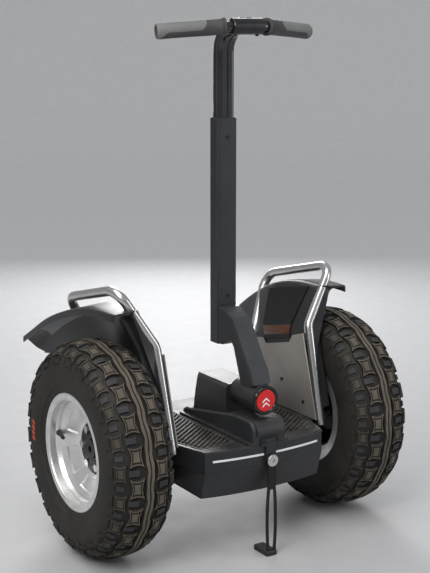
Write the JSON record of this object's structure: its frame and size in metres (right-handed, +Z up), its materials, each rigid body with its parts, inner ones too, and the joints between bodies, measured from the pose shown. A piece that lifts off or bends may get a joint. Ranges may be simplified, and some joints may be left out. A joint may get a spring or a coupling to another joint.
{
  "type": "self-balancing transporter",
  "caption": "Two-wheeled self-balancing rider platform with wide knobbly tyres, fenders with tube handles, a leaning handlebar column and a front kickstand.",
  "frame": {"origin": "ground point under the middle of the machine's plan box, on its mirror plane", "axes": "+Z up, -Y the way the machine faces, +X to the rider's left"},
  "size_m": [0.8532, 0.6664, 1.2868],
  "materials": {
    "black_casting": "satin black powder coat on cast metal",
    "black_moulding": "fine textured black plastic",
    "black_fastener": "black oxide steel",
    "circuit_board": "green solder mask",
    "soft_rubber": "matt soft rubber",
    "reflector_white": "white reflective strip",
    "mat_rubber": "ribbed matt rubber",
    "bronze": "sintered bronze",
    "spring_steel": "oiled steel",
    "arm_paint": "satin blue-grey charcoal",
    "gloss_trim": "glossy black",
    "badge_red": "glossy red dome",
    "column_anodised": "satin charcoal anodising",
    "post_anodised": "bright black anodising",
    "clamp_metal": "dark satin metal",
    "grip_rubber": "dark grey soft rubber",
    "fender_plastic": "satin black plastic",
    "polished_steel": "polished steel tube",
    "brushed_plate": "warm grey brushed metal",
    "silver_bolt": "bright zinc",
    "gear_casting": "cast aluminium",
    "tyre_rubber": "dusty black rubber",
    "rim_aluminium": "machined aluminium",
    "gear_steel": "ground steel"
  },
  "bodies": {
    "powerbase": {"balance_sensor": "circuit_board", "battery_screws": "black_fastener", "centring_spring": "spring_steel", "charge_socket": "black_fastener", "chassis_casting": "black_casting", "console_housing": "black_moulding", "control_boards": "circuit_board", "deck_frame": "black_moulding", "fender_badges": "gloss_trim", "fender_handles": "polished_steel", "fender_plates": "brushed_plate", "front_battery": "black_moulding", "front_reflectors": "reflector_white", "gearbox_bearings": "spring_steel", "gearbox_cases": "gear_casting", "gearbox_covers": "gear_casting", "kickstand_bolt": "silver_bolt", "kickstand_bracket": "black_casting", "left_fender": "fender_plastic", "motor_stators": "gear_casting", "panel_screws": "black_fastener", "pivot_base": "black_casting", "pivot_bearings": "bronze", "rear_battery": "black_moulding", "rider_switches": "soft_rubber", "right_fender": "fender_plastic"},
    "left_mat_pad": {"left_mat": "mat_rubber"},
    "right_mat_pad": {"right_mat": "mat_rubber"},
    "port_cover": {"charge_port_cover": "black_moulding"},
    "lean_frame": {"lean_arm": "black_casting", "arm_cover": "arm_paint", "badge_bezel": "gloss_trim", "lean_badge": "badge_red", "lean_shaft": "spring_steel", "column": "column_anodised", "column_trims": "gloss_trim", "column_screws": "black_fastener", "post_bush": "black_moulding"},
    "bar_post": {"post": "post_anodised", "bar_clamp": "clamp_metal", "clamp_screws": "black_fastener", "handlebar": "post_anodised", "left_grip": "grip_rubber", "right_grip": "grip_rubber"},
    "kickstand": {"kickstand_leg": "black_fastener", "kickstand_foot": "soft_rubber"},
    "left_wheel": {"left_tyre": "tyre_rubber", "left_rim": "rim_aluminium", "left_hub": "black_fastener", "left_lug_bolts": "silver_bolt", "left_output_gear": "gear_steel"},
    "left_layshaft_gears": {"left_layshaft": "gear_steel"},
    "left_motor_rotor": {"left_rotor": "gear_steel"},
    "right_wheel": {"right_tyre": "tyre_rubber", "right_rim": "rim_aluminium", "right_hub": "black_fastener", "right_lug_bolts": "silver_bolt", "right_output_gear": "gear_steel"},
    "right_layshaft_gears": {"right_layshaft": "gear_steel"},
    "right_motor_rotor": {"right_rotor": "gear_steel"}
  },
  "joints": [
    {"name": "left_mat_press", "type": "slide", "parent": "powerbase", "child": "left_mat_pad", "axis": [0, 0, -1], "range_m": [0, 0.002], "stiffness_N_per_m": 8000, "springref_m": -0.001},
    {"name": "right_mat_press", "type": "slide", "parent": "powerbase", "child": "right_mat_pad", "axis": [0, 0, -1], "range_m": [0, 0.002], "stiffness_N_per_m": 8000, "springref_m": -0.001},
    {"name": "port_cover_hinge", "type": "hinge", "parent": "powerbase", "child": "port_cover", "pos_m": [0, -0.30375, 0.3045], "axis": [1, 0, 0], "range_deg": [0, 70]},
    {"name": "lean_steer", "type": "hinge", "parent": "powerbase", "child": "lean_frame", "pos_m": [0, -0.24575, 0.3845], "axis": [0, 1, 0], "range_deg": [-15, 15], "stiffness_Nm_per_rad": 180},
    {"name": "bar_height", "type": "slide", "parent": "lean_frame", "child": "bar_post", "axis": [0, 0, 1], "range_m": [-0.08, 0.04]},
    {"name": "kickstand_swing", "type": "hinge", "parent": "powerbase", "child": "kickstand", "pos_m": [0, -0.31025, 0.243], "axis": [0, -1, 0], "range_deg": [0, 90]},
    {"name": "left_wheel_spin", "type": "hinge", "parent": "powerbase", "child": "left_wheel", "pos_m": [0.345, -0.06675, 0.2665], "axis": [1, 0, 0], "continuous": true},
    {"name": "left_layshaft_spin", "type": "hinge", "parent": "powerbase", "child": "left_layshaft_gears", "pos_m": [0.23, -0.01511, 0.23902], "axis": [1, 0, 0], "continuous": true},
    {"name": "left_rotor_spin", "type": "hinge", "parent": "powerbase", "child": "left_motor_rotor", "pos_m": [0.155, -0.06675, 0.222], "axis": [1, 0, 0], "continuous": true},
    {"name": "right_wheel_spin", "type": "hinge", "parent": "powerbase", "child": "right_wheel", "pos_m": [-0.345, -0.06675, 0.2665], "axis": [1, 0, 0], "continuous": true},
    {"name": "right_layshaft_spin", "type": "hinge", "parent": "powerbase", "child": "right_layshaft_gears", "pos_m": [-0.23, -0.01511, 0.23902], "axis": [1, 0, 0], "continuous": true},
    {"name": "right_rotor_spin", "type": "hinge", "parent": "powerbase", "child": "right_motor_rotor", "pos_m": [-0.155, -0.06675, 0.222], "axis": [1, 0, 0], "continuous": true}
  ],
  "couplings": [
    {"joint": "left_layshaft_spin", "follows": "left_wheel_spin", "ratio": -5},
    {"joint": "left_rotor_spin", "follows": "left_wheel_spin", "ratio": 24},
    {"joint": "right_layshaft_spin", "follows": "right_wheel_spin", "ratio": -5},
    {"joint": "right_rotor_spin", "follows": "right_wheel_spin", "ratio": 24}
  ]
}
